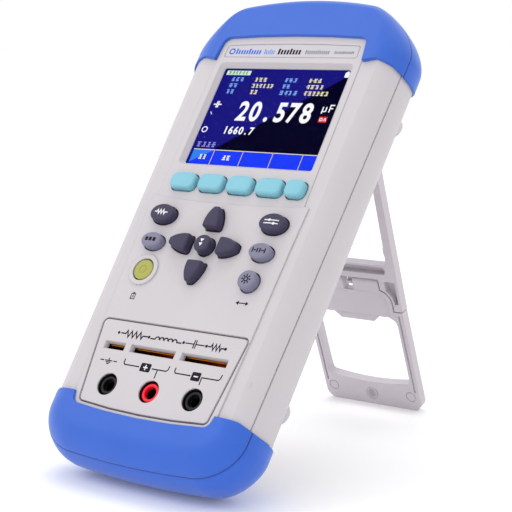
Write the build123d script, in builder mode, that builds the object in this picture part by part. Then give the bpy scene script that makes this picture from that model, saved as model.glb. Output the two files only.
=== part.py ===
from build123d import *
import math
import os

os.makedirs("parts", exist_ok=True)

# ---------------------------------------------------------------- driving dimensions, mm
lean = 36.0               # the meter leans back this far from upright, degrees
stand_open = 58.0         # angle between the open stand and the back of the case, degrees
floor_drop = 125.682      # height of the screen centre above the floor
middle_shift = -2.112     # moves the whole meter so that the row origin is under its middle

half_width = 47.46        # half width of the case level with the screen centre
side_taper = 0.0187       # the case widens by this much per mm of height
case_top = 53.97          # top end of the case above the screen centre
case_bottom = -140.6      # bottom end of the case
case_depth = 26.5         # front panel to flat of the back
shoulder = 11.5           # round between the front and the sides
back_round = 14.0         # depth taken by the round between the back and the sides
back_round_side = 18.0    # and how far it reaches in from the sides
back_round_top = 11.4     # from the top end
back_round_end = 9.0      # and from the bottom end
front_round_top = 0.43    # the front round reaches in less at the top than at the sides
wall = 2.2                # case wall
bumper_proud = 0.9        # bumper stands this far out of the case
bumper_bed = 1.2          # and is sunk this far into it
seam_depth = 6.6          # parting line between the two shells, level with the screen centre
seam_slope = 1.0          # the parting line runs further back towards the bottom, degrees

screen_w = 57.4           # visible glass, 2.8 inch panel
screen_h = 43.0
screen_rim_w = 61.2       # outer edge of the bevel round the glass
screen_rim_h = 46.4
board_front = 7.0         # front of the circuit board
board_thick = 1.6
key_travel = 1.0
key_gap = 0.45            # gap all round each key in its hole

socket_pitch = 19.05      # three quarters of an inch between sockets
socket_row = -113.1
socket_hole_r = 4.2       # opening in the front panel
plug_r = 2.0              # 4 mm plug
slot_row = -98.6
slot_h = 3.0
slots = {"guard": (-22.9, 9.5), "high": (-5.5, 20.1), "low": (17.4, 20.1)}
sockets = {"guard": -socket_pitch, "high": 0.0, "low": socket_pitch}

hinge_depth = 24.4        # hinge line of the stand, behind the front panel
hinge_up = 18.5           # and above the screen centre
stand_thick = 4.0
stand_pin_r = 1.0
tip_up = 59.8             # hinge line of the stand foot above its bottom edge
tip_pin_r = 0.8

# ---------------------------------------------------------------- frame
s_lean = math.sin(math.radians(lean))
c_lean = math.cos(math.radians(lean))
meter = Plane(origin=(0, middle_shift, floor_drop), x_dir=(1, 0, 0), z_dir=(0, -c_lean, s_lean))
front_way = Axis((0, 0, 0), (0, -c_lean, s_lean))


def face(depth):
    """Plane parallel to the front panel, this far behind it; x right, y up the meter."""
    return meter.offset(-depth)


def at(x, up, depth):
    """Point of the meter in the row's frame."""
    return meter.from_local_coords(Vector(x, up, -depth))


def side(x):
    """Plane square to the X axis; x towards the back, y up the meter."""
    return Plane(origin=at(x, 0, 0), x_dir=(0, c_lean, -s_lean), z_dir=(1, 0, 0))


def seam_at(up):
    return seam_depth - math.tan(math.radians(seam_slope)) * up


def half_at(up):
    return half_width + side_taper * up


# ---------------------------------------------------------------- case body
def ring(depth, grow, inset, end_inset, top_inset):
    """Front outline of the case, arched top and bottom, grown and then inset."""
    k = inset / back_round_side
    top = case_top + grow - top_inset
    low = case_bottom - grow + end_inset
    up_end = 29 - 1.2 * k
    low_end = -124 + 3 * k
    up_x = half_at(up_end) + grow - inset
    low_x = half_at(low_end) + grow - inset
    with BuildSketch(face(depth)) as outline:
        with BuildLine():
            arch = ThreePointArc((-27.7 - 1.7 * k, top - 2.7), (0, top), (27.7 + 1.7 * k, top - 2.7))
            right = Line((up_x, up_end), (low_x, low_end))
            sole = ThreePointArc((29 - 5 * k, low + 1.2), (0, low), (5 * k - 29, low + 1.2))
            left = Line((-low_x, low_end), (-up_x, up_end))
            for first, second, reach in (
                (arch, right, 7.7 + 0.3 * k),
                (right, sole, 8 - 6 * k),
                (sole, left, 8 - 6 * k),
                (left, arch, 7.7 + 0.3 * k),
            ):
                start = first @ 1
                end = second @ 0
                Bezier(start, start + (first % 1) * reach, end - (second % 0) * reach, end)
        make_face()
    return outline.sketch


def pebble(grow):
    """Case body: the outline above, rounded towards the front and towards the back."""
    front_r = shoulder + grow
    mid = case_depth - back_round
    turns = [math.radians(18 * step) for step in range(6)]
    front_rings = []
    back_rings = []
    for t in turns:
        inset = front_r * (1 - math.sin(t))
        front_rings.append(ring(front_r * (1 - math.cos(t)) - grow, grow, inset, inset, inset * front_round_top))
        back_rings.append(ring(mid + (back_round + grow) * math.sin(t), grow,
                               (back_round_side + grow) * (1 - math.cos(t)),
                               (back_round_end + grow) * (1 - math.cos(t)),
                               (back_round_top + grow) * (1 - math.cos(t))))
    with BuildPart() as body:
        loft(sections=front_rings)
        loft(sections=[front_rings[-1], back_rings[0]], ruled=True)
        loft(sections=back_rings)
    return body.part


def rounded(points, radius, corners=None):
    """Closed outline through the points, with its corners rounded."""
    with BuildSketch() as flat:
        with BuildLine():
            Polyline(*points, close=True)
        make_face()
        picked = flat.vertices()
        if corners:
            picked = picked.filter_by(corners)
        fillet(picked, radius)
    return flat.sketch


outer = pebble(0)
inner = pebble(-wall)
bed = pebble(-bumper_bed)
skin = pebble(-0.5)
big = pebble(bumper_proud)
big_skin = pebble(bumper_proud - 0.5)

seam = Plane(
    origin=at(0, 0, seam_depth),
    x_dir=(1, 0, 0),
    z_dir=(0, -math.cos(math.radians(lean + seam_slope)), math.sin(math.radians(lean + seam_slope))),
)
below_seam = Plane(origin=seam.origin - seam.z_dir * 0.4, x_dir=seam.x_dir, z_dir=seam.z_dir)

# narrow reveal that runs round the meter along the parting line
with BuildPart() as case_reveal:
    add(outer)
    add(skin, mode=Mode.SUBTRACT)
    split(bisect_by=seam, keep=Keep.BOTTOM)
    split(bisect_by=below_seam, keep=Keep.TOP)

with BuildPart() as bumper_reveal:
    add(big)
    add(big_skin, mode=Mode.SUBTRACT)
    split(bisect_by=seam, keep=Keep.BOTTOM)
    split(bisect_by=below_seam, keep=Keep.TOP)

# ---------------------------------------------------------------- bumpers
# the front panel runs into both bumpers as a tongue
top_tongue = rounded([(-33.6, 10), (-33.6, 24.2), (-32.4, 34.0), (-16, 34.9), (0, 35.2), (16, 34.9),
                      (32.4, 34.0), (33.6, 24.2), (33.6, 10)], 3.4, lambda v: v.Y > 33.9 and abs(v.X) > 30)
low_tongue = rounded([(-33.5, -100), (-31.2, -117.6), (-30.1, -121.8), (-15, -123.0), (0, -123.4), (15, -123.0),
                      (30.1, -121.8), (31.2, -117.6), (33.5, -100)], 3.0, lambda v: -122 < v.Y < -121)

with BuildPart() as top_wrap:
    with BuildSketch(face(-3)):
        with BuildLine():
            Polyline((-60, 20.0), (-48.5, 22.0), (-45, 24.0), (-39, 25.2), (-34, 24.2), (34, 24.2), (39, 25.2),
                     (45, 24.0), (48.5, 22.0), (60, 20.0), (60, 70), (-60, 70), close=True)
        make_face()
    extrude(amount=-40)
    with BuildSketch(face(-3)):
        add(top_tongue)
    extrude(amount=-11, mode=Mode.SUBTRACT)
    add(big, mode=Mode.INTERSECT)
    add(bed, mode=Mode.SUBTRACT)

with BuildPart() as low_wrap:
    with BuildSketch(face(-3)):
        with BuildLine():
            Polyline((-60, -119.8), (-45.5, -119.3), (-40, -117.5), (-32, -117.5), (32, -117.5), (40, -117.5),
                     (45.5, -119.3), (60, -119.8), (60, -160), (-60, -160), close=True)
        make_face()
    extrude(amount=-16)
    with BuildSketch(face(13)):
        with Locations((0, -139.6)):
            Rectangle(120, 40)
    extrude(amount=-20)
    with BuildSketch(face(-3)):
        add(low_tongue)
    extrude(amount=-11, mode=Mode.SUBTRACT)
    add(big, mode=Mode.INTERSECT)
    add(bed, mode=Mode.SUBTRACT)

with BuildPart() as front_top_bumper:
    add(top_wrap.part)
    split(bisect_by=seam, keep=Keep.TOP)
with BuildPart() as rear_top_bumper:
    add(top_wrap.part)
    split(bisect_by=seam, keep=Keep.BOTTOM)
    add(bumper_reveal.part, mode=Mode.SUBTRACT)
with BuildPart() as front_bottom_bumper:
    add(low_wrap.part)
    split(bisect_by=seam, keep=Keep.TOP)
with BuildPart() as rear_bottom_bumper:
    add(low_wrap.part)
    split(bisect_by=seam, keep=Keep.BOTTOM)
    add(bumper_reveal.part, mode=Mode.SUBTRACT)

# ---------------------------------------------------------------- keys, seen from the front
soft_row = -30.9
key_rows = (-45.5, -56.9, -68.2)
pad_x, pad_row = -1.5, -56.2      # middle of the arrow cluster
arrow_reach = 10.9        # middle of each arrow from the middle of the cluster
soft_rise = 2.4           # how far the caps stand out of the panel
cap_rise = 3.1
cap_crown = 32.0          # radius of the domed top of a cap


def oval(wide, tall):
    """Each outline is a function of how far it is grown beyond the hole."""
    def grown(by):
        with BuildSketch() as flat:
            Ellipse(wide / 2 + by, tall / 2 + by)
        return flat.sketch
    return grown


def disc(radius):
    def grown(by):
        with BuildSketch() as flat:
            Circle(radius + by)
        return flat.sketch
    return grown


def soft_pad(wide):
    def grown(by):
        with BuildSketch() as flat:
            RectangleRounded(wide + 2 * by, 7.6 + 2 * by, 2.9 + by)
        return flat.sketch
    return grown


def arrow(turn):
    """Rounded wedge with bulging sides that points up, then turned about its middle."""
    def grown(by):
        with BuildSketch() as flat:
            with BuildLine():
                foot = Line((-3.8, -4.6), (3.8, -4.6))
                right = ThreePointArc(foot @ 1, (3.4, 0.4), (1.3, 4.7))
                left = ThreePointArc((-1.3, 4.7), (-3.4, 0.4), foot @ 0)
                Line(right @ 1, left @ 0)
            make_face()
            fillet(flat.vertices(), 1.25)
            if by:
                offset(amount=by)
        return Rot(0, 0, turn) * flat.sketch
    return grown


# name: hole outline, x, up, how far the cap stands out of the panel
keys = {
    "softkey_1": (soft_pad(12.1), -22.95, soft_row, soft_rise),
    "softkey_2": (soft_pad(12.1), -9.9, soft_row, soft_rise),
    "softkey_3": (soft_pad(12.1), 3.15, soft_row, soft_rise),
    "softkey_4": (soft_pad(12.1), 16.2, soft_row, soft_rise),
    "softkey_5": (soft_pad(8.9), 27.4, soft_row, soft_rise),
    "measure_key": (oval(11.8, 8.2), -25.2, key_rows[0], cap_rise),
    "system_key": (oval(10.1, 7.1), -24.8, key_rows[1], cap_rise),
    "power_key": (disc(4.5), -24.4, key_rows[2], 0.7),
    "setup_key": (oval(12.0, 8.2), 24.5, key_rows[0], cap_rise),
    "hold_key": (oval(10.1, 7.2), 24.1, key_rows[1], cap_rise),
    "light_key": (disc(4.15), 23.6, key_rows[2], cap_rise),
    "enter_key": (disc(3.9), pad_x, pad_row, cap_rise),
    "up_key": (arrow(0), pad_x, pad_row + arrow_reach, cap_rise),
    "left_key": (arrow(90), pad_x - arrow_reach, pad_row, cap_rise),
    "down_key": (arrow(180), pad_x, pad_row - arrow_reach, cap_rise),
    "right_key": (arrow(270), pad_x + arrow_reach, pad_row, cap_rise),
}

# ---------------------------------------------------------------- front shell
case_screws_at = ((-38, 12), (38, 12), (-36, -104), (36, -104))
board_screws_at = ((-29, 36), (29, 36), (-30.5, -80.5), (30.5, -80.5))

with BuildPart() as front_case:
    add(outer)
    add(inner, mode=Mode.SUBTRACT)
    split(bisect_by=seam, keep=Keep.TOP)
    # posts for the case screws and the board screws
    with BuildSketch(face(14)):
        with Locations(*case_screws_at):
            Circle(3.0)
    extrude(amount=13)
    with BuildSketch(face(board_front)):
        with Locations(*board_screws_at):
            Circle(2.2)
    extrude(amount=board_front - 1)
    with BuildSketch(face(14)):
        with Locations(*case_screws_at):
            Circle(1.35)
    extrude(amount=9, mode=Mode.SUBTRACT)
    with BuildSketch(face(board_front)):
        with Locations(*board_screws_at):
            Circle(0.9)
    extrude(amount=4.4, mode=Mode.SUBTRACT)
    add(top_wrap.part, mode=Mode.SUBTRACT)
    add(low_wrap.part, mode=Mode.SUBTRACT)
    # the panel stands half a millimetre proud of the shoulders
    with BuildSketch(face(-2)):
        Rectangle(120, 260)
        add(rounded([(-33.1, 60), (-33.1, -37.1), (-35.4, -37.3), (-34.4, -55), (-33.1, -88), (-31.0, -130),
                     (31.0, -130), (33.1, -88), (34.4, -55), (35.4, -37.3), (33.1, -37.1), (33.1, 60)], 0.6,
                    lambda v: -60 < v.Y < 0), mode=Mode.SUBTRACT)
    extrude(amount=-2.5, mode=Mode.SUBTRACT)
    # the screen half is a quarter lower, with a curved step below the soft keys
    with BuildSketch(face(-2)):
        with BuildLine():
            step_arc = ThreePointArc((-36, -36.95), (0, -38.6), (36, -36.95))
            Polyline(step_arc @ 1, (36, 60), (-36, 60), step_arc @ 0)
        make_face()
    extrude(amount=-2.25, mode=Mode.SUBTRACT)
    # bevelled opening for the glass
    with BuildSketch(face(0.2)):
        RectangleRounded(screen_rim_w, screen_rim_h, 2.0)
    with BuildSketch(face(wall)):
        RectangleRounded(screen_w, screen_h, 0.8)
    loft(mode=Mode.SUBTRACT)
    with BuildSketch(face(-2)):
        RectangleRounded(screen_w, screen_h, 0.8)
    extrude(amount=-6, mode=Mode.SUBTRACT)
    # bed of the blank name plate
    with BuildSketch(face(-1)):
        add(rounded([(-30.5, 25.5), (-30.3, 31.0), (-15, 31.6), (0, 31.8), (15, 31.6), (30.3, 31.0),
                     (30.5, 25.5)], 0.9, lambda v: abs(v.X) > 29))
    extrude(amount=-1.6, mode=Mode.SUBTRACT)
    # groove round the terminal panel
    with BuildSketch(face(-1)):
        terminal_rim = add(rounded([(-33.0, -88.2), (33.0, -88.2), (28.9, -121.0), (14, -122.0), (0, -122.3),
                                    (-14, -122.0), (-28.9, -121.0)], 2.4,
                                   lambda v: v.Y > -90 or abs(v.X) > 20))
        offset(amount=-0.75, mode=Mode.SUBTRACT)
    extrude(amount=-1.5, mode=Mode.SUBTRACT)
    # shallow dish under the arrow keys
    with Locations(at(pad_x, pad_row, 0.8 - 181.0)):
        Sphere(181.0, mode=Mode.SUBTRACT)
    # raised ring round the power key
    with BuildSketch(face(0.4)):
        with Locations((keys["power_key"][1], keys["power_key"][2])):
            Circle(6.2)
            Circle(4.5, mode=Mode.SUBTRACT)
    extrude(amount=0.95)
    # key holes
    for outline, x, up, rise in keys.values():
        with BuildSketch(face(-2)):
            with Locations((x, up)):
                add(outline(0))
        extrude(amount=-8, mode=Mode.SUBTRACT)
    # terminal slots with a sloped lead-in, and the three socket openings
    for middle, wide in slots.values():
        with BuildSketch(face(-1)):
            with Locations((middle, slot_row)):
                Rectangle(wide - 0.8, 2.2)
        extrude(amount=-8, mode=Mode.SUBTRACT)
        with BuildSketch(face(-0.01)):
            with Locations((middle, slot_row)):
                Rectangle(wide, slot_h)
        with BuildSketch(face(1.4)):
            with Locations((middle, slot_row)):
                Rectangle(wide - 0.8, 2.2)
        loft(mode=Mode.SUBTRACT)
    with BuildSketch(face(-2)):
        with Locations(*[(x, socket_row) for x in sockets.values()]):
            Circle(socket_hole_r)
    extrude(amount=-8, mode=Mode.SUBTRACT)

# ---------------------------------------------------------------- stand geometry
tip_angle = stand_open - lean
s_tip = math.sin(math.radians(tip_angle))
c_tip = math.cos(math.radians(tip_angle))
hinge = at(0, hinge_up, hinge_depth)
stand_length = (hinge.Z - stand_thick / 2 * s_tip) / c_tip      # reaches the floor, edge down
foot_end = hinge_up - stand_length                               # where it lies when folded
stand = Plane(
    origin=(0, hinge.Y + stand_length * s_tip, hinge.Z - stand_length * c_tip),
    x_dir=(1, 0, 0),
    z_dir=(0, -c_tip, -s_tip),
)
half_thick = stand_thick / 2


def leaf(out):
    """Plane parallel to the stand, this far in front of its middle; y from the foot up to the hinge."""
    return stand.offset(out)


def along_x(x, up, out):
    """Plane square to the X axis through a point of the stand."""
    return Plane(origin=stand.from_local_coords(Vector(x, up, out)), x_dir=(0, -s_tip, c_tip), z_dir=(1, 0, 0))


# ---------------------------------------------------------------- rear shell
bay_half = 26.4           # the folded stand lies in this recess
bay_floor = hinge_depth - half_thick - 0.2
door_w, door_top, door_low = 39.0, -6.0, -66.0

with BuildPart() as rear_case:
    add(outer)
    add(inner, mode=Mode.SUBTRACT)
    # floor and walls of the stand recess
    with BuildSketch(face(bay_floor - wall)):
        with Locations((0, (hinge_up + 4.8 + foot_end - 3) / 2)):
            Rectangle(2 * bay_half + 4.4, hinge_up + 4.8 - foot_end + 3)
    extrude(amount=-(case_depth - bay_floor + wall - 0.6))
    # posts for the case screws
    with BuildSketch(face(14.1)):
        with Locations(*case_screws_at):
            Circle(4.4)
    extrude(amount=-11.6)
    split(bisect_by=seam, keep=Keep.BOTTOM)
    add(top_wrap.part, mode=Mode.SUBTRACT)
    add(low_wrap.part, mode=Mode.SUBTRACT)
    add(case_reveal.part, mode=Mode.SUBTRACT)
    # the recess itself
    with BuildSketch(face(bay_floor)):
        add(rounded([(-bay_half, hinge_up + 2.6), (bay_half, hinge_up + 2.6), (bay_half, foot_end - 0.8),
                     (-bay_half, foot_end - 0.8)], 1.5))
    extrude(amount=-12, mode=Mode.SUBTRACT)
    # battery door opening with a ledge under the door
    with BuildSketch(face(0)):
        with Locations((0, (door_top + door_low) / 2)):
            Rectangle(door_w - 4, door_top - door_low - 14)
    extrude(amount=-30, mode=Mode.SUBTRACT)
    with BuildSketch(face(bay_floor - 1.2)):
        with Locations((0, (door_top + door_low) / 2)):
            RectangleRounded(door_w, door_top - door_low, 2.0)
    extrude(amount=-12, mode=Mode.SUBTRACT)
    with BuildSketch(face(bay_floor - 8)):
        with Locations((-14, door_low + 3.6), (14, door_low + 3.6)):
            Circle(0.9)
    extrude(amount=-10, mode=Mode.SUBTRACT)
    # cradle round the battery
    with BuildSketch(face(bay_floor - wall)):
        with Locations((0, (door_top + door_low) / 2)):
            Rectangle(37.2, 47.4)
            Rectangle(34.8, 44.8, mode=Mode.SUBTRACT)
    extrude(amount=7)
    # case screw holes, wide for the head and narrow for the shank
    with BuildSketch(face(20.5)):
        with Locations(*case_screws_at):
            Circle(2.9)
    extrude(amount=-12, mode=Mode.SUBTRACT)
    with BuildSketch(face(10)):
        with Locations(*case_screws_at):
            Circle(1.7)
    extrude(amount=-12, mode=Mode.SUBTRACT)
    # pin holes of the stand hinge
    for sign in (-1, 1):
        with BuildSketch(side(sign * (bay_half - 1))):
            with Locations((hinge_depth, hinge_up)):
                Circle(stand_pin_r + 0.01)
        extrude(amount=sign * 3.2, mode=Mode.SUBTRACT)
    # opening for the serial socket in the left side
    with BuildSketch(side(-60)):
        with Locations((10.3, -20)):
            RectangleRounded(3.9, 9.7, 1.2)
    extrude(amount=20, mode=Mode.SUBTRACT)
    # grip ribs on both sides of the recess
    for row in range(7):
        with BuildSketch(face(case_depth - 0.5)):
            with Locations((-30.2, -58 - 4 * row), (30.2, -58 - 4 * row)):
                Rectangle(4.4, 1.4)
        extrude(amount=-4, mode=Mode.SUBTRACT)

# ---------------------------------------------------------------- keys
def key_cap(outline, x, up, rise):
    """Domed cap in its hole, a flange behind the panel that keeps it in, and a short stem."""
    wide = outline(0).bounding_box().size.X
    soft = abs(up - soft_row) < 0.1
    with BuildPart() as cap:
        with BuildSketch(face(2.6)):
            with Locations((x, up)):
                add(outline(-key_gap))
        extrude(amount=2.6 + rise + 0.5)
        with Locations(at(x, up, cap_crown - rise)):
            Sphere(cap_crown, mode=Mode.INTERSECT)
        rim = cap.faces().sort_by(front_way)[-1].edges()
        fillet(rim, 0.85 if rise > 1 else 0.35)
        with BuildSketch(face(2.6)):
            with Locations((x, up)):
                if soft:
                    RectangleRounded(wide + 0.3, 9.0, 1.5)
                else:
                    add(outline(0.6))
        extrude(amount=-0.8)
        with BuildSketch(face(3.4)):
            with Locations((x, up)):
                Circle(2.6)
        extrude(amount=-1.2)
        # shallow rings on the flat power cap
        if rise < 1:
            with BuildSketch(face(-rise + 0.12)):
                with Locations((x, up)):
                    Circle(3.0)
                    Circle(2.75, mode=Mode.SUBTRACT)
                    Circle(1.6)
                    Circle(1.35, mode=Mode.SUBTRACT)
            extrude(amount=1, mode=Mode.SUBTRACT)
    return cap


caps = {}
for key_name, (outline, x, up, rise) in keys.items():
    caps[key_name] = key_cap(outline, x, up, rise)

# ---------------------------------------------------------------- display and boards
with BuildPart() as name_plate:
    with BuildSketch(face(0.3)):
        add(rounded([(-30.3, 25.7), (-30.1, 30.85), (-15, 31.4), (0, 31.6), (15, 31.4), (30.1, 30.85),
                     (30.3, 25.7)], 0.8, lambda v: abs(v.X) > 29))
    extrude(amount=-0.3)

with BuildPart() as screen_window:
    with BuildSketch(face(wall)):
        RectangleRounded(61.6, 47.2, 1.5)
    extrude(amount=-1.4)

with BuildPart() as display_frame:
    with BuildSketch(face(wall + 1.4)):
        RectangleRounded(67, 50.0, 1.5)
    extrude(amount=-(board_front - wall - 1.5))
    with BuildSketch(face(wall + 1.4)):
        Rectangle(63.2, 47.4)
    extrude(amount=-1.5, mode=Mode.SUBTRACT)

with BuildPart() as display_panel:
    with BuildSketch(face(wall + 1.45)):
        Rectangle(63.0, 47.2)
    extrude(amount=-1.4)

with BuildPart() as keypad_mat:
    with BuildSketch(face(5.75)):
        with Locations((0, -52.3)):
            RectangleRounded(64.4, 50.4, 3)
    extrude(amount=-1.2)
    with BuildSketch(face(5.75)):
        with Locations(*[(x, up) for outline, x, up, rise in keys.values()]):
            Circle(3.1)
            Circle(2.3, mode=Mode.SUBTRACT)
    extrude(amount=-0.4, mode=Mode.SUBTRACT)

with BuildPart() as main_board:
    with BuildSketch(face(board_front)):
        with Locations((0, -20.5)):
            RectangleRounded(67.6, 129, 2)
        with Locations(*board_screws_at):
            Circle(1.1, mode=Mode.SUBTRACT)
        with Locations((-14, 40), (14, 40)):
            Circle(1.2, mode=Mode.SUBTRACT)
    extrude(amount=-board_thick)

board_back = board_front + board_thick
with BuildPart() as shield_can:
    with BuildSketch(face(board_back)):
        with Locations((9, 24)):
            RectangleRounded(34, 26, 1)
    extrude(amount=-3.2)
    with BuildSketch(face(board_back)):
        with Locations((9, 24)):
            RectangleRounded(33.2, 25.2, 0.8)
    extrude(amount=-2.9, mode=Mode.SUBTRACT)

with BuildPart() as board_chips:
    with BuildSketch(face(board_back)):
        with Locations((-22, 30), (-22, 14)):
            Rectangle(9, 9)
        with Locations((4, -72), (-12, -72)):
            Rectangle(7, 5)
        with Locations((28, -72)):
            Rectangle(4, 9)
    extrude(amount=-1.4)

with BuildPart() as beeper:
    with BuildSketch(face(board_back)):
        with Locations((18, -74)):
            Circle(4.5)
            Circle(0.9, mode=Mode.SUBTRACT)
    extrude(amount=-4.2)

with BuildPart() as serial_socket:
    with BuildSketch(side(-46.2)):
        with Locations((board_back + 1.7, -20)):
            RectangleRounded(3.3, 9.1, 1.0)
            RectangleRounded(2.5, 8.3, 0.7, mode=Mode.SUBTRACT)
    extrude(amount=13)
    with BuildSketch(side(-34.2)):
        with Locations((board_back + 1.7, -20)):
            RectangleRounded(3.3, 9.1, 1.0)
    extrude(amount=1)
    with BuildSketch(side(-45)):
        with Locations((board_back + 1.7, -20)):
            Rectangle(0.7, 6.6)
    extrude(amount=11)

with BuildPart() as battery_pack:
    with BuildSketch(face(bay_floor - wall - 8.4)):
        with Locations((0, (door_top + door_low) / 2)):
            RectangleRounded(34, 44, 2)
    extrude(amount=-8)
    fillet(battery_pack.edges().group_by(front_way)[0], 0.8)

with BuildPart() as battery_door:
    with BuildSketch(face(bay_floor - 1.15)):
        with Locations((0, (door_top + door_low) / 2)):
            RectangleRounded(door_w - 0.4, door_top - door_low - 0.4, 1.9)
    extrude(amount=-1.15)
    with BuildSketch(face(bay_floor - 5)):
        with Locations((-14, door_low + 3.6), (14, door_low + 3.6)):
            Circle(1.0)
    extrude(amount=-6, mode=Mode.SUBTRACT)
    with BuildSketch(face(bay_floor - 0.6)):
        with Locations((-14, door_low + 3.6), (14, door_low + 3.6)):
            Circle(1.8)
    extrude(amount=-2, mode=Mode.SUBTRACT)
    with BuildSketch(face(bay_floor - 0.35)):
        for row in range(5):
            with Locations((0, door_top - 8 - 2.4 * row)):
                SlotOverall(16 - 2 * row, 1.2)
    extrude(amount=-2, mode=Mode.SUBTRACT)


def screw(points, base, head_r, head_t, shank_r, shank_l, recess):
    """Cross-recessed screws whose heads seat at this depth and point to the back."""
    with BuildPart() as made:
        with BuildSketch(face(base)):
            with Locations(*points):
                Circle(head_r)
        extrude(amount=-head_t)
        fillet(made.edges().group_by(front_way)[0], head_t * 0.35)
        with BuildSketch(face(base)):
            with Locations(*points):
                Circle(shank_r)
        extrude(amount=shank_l)
        with BuildSketch(face(base + head_t)):
            with Locations(*points):
                Rectangle(recess, recess / 4)
                Rectangle(recess / 4, recess)
        extrude(amount=head_t * 0.6, mode=Mode.SUBTRACT)
    return made


case_screws = screw(case_screws_at, 20.5, 2.7, 2.0, 1.3, 14.0, 3.2)
board_screws = screw(board_screws_at, board_back, 1.9, 1.2, 0.85, 5.2, 2.0)
door_screws = screw(((-14, door_low + 3.6), (14, door_low + 3.6)), bay_floor - 0.6, 1.6, 0.55, 0.85, 5.0, 1.8)

# ---------------------------------------------------------------- terminals
socket_x = list(sockets.values())
with BuildPart() as terminal_block:
    with BuildSketch(face(wall + 0.05)):
        with Locations((0, -106.4)):
            RectangleRounded(61, 29.6, 2)
    extrude(amount=-13)
    with BuildSketch(face(wall)):
        with Locations(*[(x, socket_row) for x in socket_x]):
            Circle(5.3)
    extrude(amount=-20, mode=Mode.SUBTRACT)
    for middle, wide in slots.values():
        with BuildSketch(face(wall)):
            with Locations((middle, slot_row)):
                Rectangle(wide - 0.4, 3.4)
        extrude(amount=-11, mode=Mode.SUBTRACT)
    with BuildSketch(face(wall + 13.05)):
        with Locations((-27, -94), (27, -94)):
            Circle(2.2)
    extrude(amount=-2)


def slot_blades(middle, wide):
    """Two facing spring blades, one on each side of the lead."""
    with BuildPart() as blades:
        with BuildSketch(face(wall + 0.3)):
            with Locations((middle, slot_row - 0.95), (middle, slot_row + 0.95)):
                Rectangle(wide - 1.4, 0.45)
        extrude(amount=-10)
        with BuildSketch(face(wall + 8.3)):
            with Locations((middle, slot_row)):
                Rectangle(wide - 1.4, 2.35)
        extrude(amount=-1.2)
    return blades


guard_blades = slot_blades(*slots["guard"])
high_blades = slot_blades(*slots["high"])
low_blades = slot_blades(*slots["low"])


def socket_body(x):
    """Insulator: an outer sleeve, an inner tube round the barrel and a closed base."""
    with BuildPart() as body:
        with BuildSketch(face(wall + 0.1)):
            with Locations((x, socket_row)):
                Circle(5.24)
                Circle(4.3, mode=Mode.SUBTRACT)
        extrude(amount=-12)
        with BuildSketch(face(1.0)):
            with Locations((x, socket_row)):
                Circle(3.5)
                Circle(plug_r + 0.35, mode=Mode.SUBTRACT)
        extrude(amount=-12)
        fillet(body.edges().filter_by(GeomType.CIRCLE).group_by(front_way)[-1], 0.3)
        with BuildSketch(face(wall + 10.8)):
            with Locations((x, socket_row)):
                Circle(5.24)
                Circle(2.5, mode=Mode.SUBTRACT)
        extrude(amount=-1.6)
        with BuildSketch(face(2.6)):
            with Locations((x, socket_row)):
                Circle(2.5)
        extrude(amount=-30, mode=Mode.SUBTRACT)
    return body


guard_socket = socket_body(sockets["guard"])
high_socket = socket_body(sockets["high"])
low_socket = socket_body(sockets["low"])

with BuildPart() as socket_barrels:
    with BuildSketch(face(2.65)):
        with Locations(*[(x, socket_row) for x in socket_x]):
            Circle(2.48)
            Circle(plug_r, mode=Mode.SUBTRACT)
    extrude(amount=-13)
    with BuildSketch(face(15.65)):
        with Locations(*[(x, socket_row) for x in socket_x]):
            Circle(2.48)
    extrude(amount=-1)

# ---------------------------------------------------------------- stand
gap_up = 47.7             # foot and frame meet here, above the foot's edge
bar_low, bar_top = 62.4, 68.9
frame_low, frame_high = 23.6, 25.8     # half width of the frame at its lower and upper end
plate_half, plate_top, plate_r = 19.3, 57.3, 5.9
tab_half, tab_top = 14.6, 61.8


def plate_outline(grow):
    """Plate with round shoulders and a tab on top, grown evenly."""
    with BuildSketch() as flat:
        with Locations((0, 40)):
            Rectangle(2 * (plate_half + grow), 2 * (plate_top + grow - 40))
        fillet(flat.vertices().group_by(Axis.Y)[-1], plate_r + grow)
        with Locations((0, (40 + tab_top + grow) / 2)):
            Rectangle(2 * (tab_half + grow), tab_top + grow - 40)
    return flat.sketch


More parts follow.
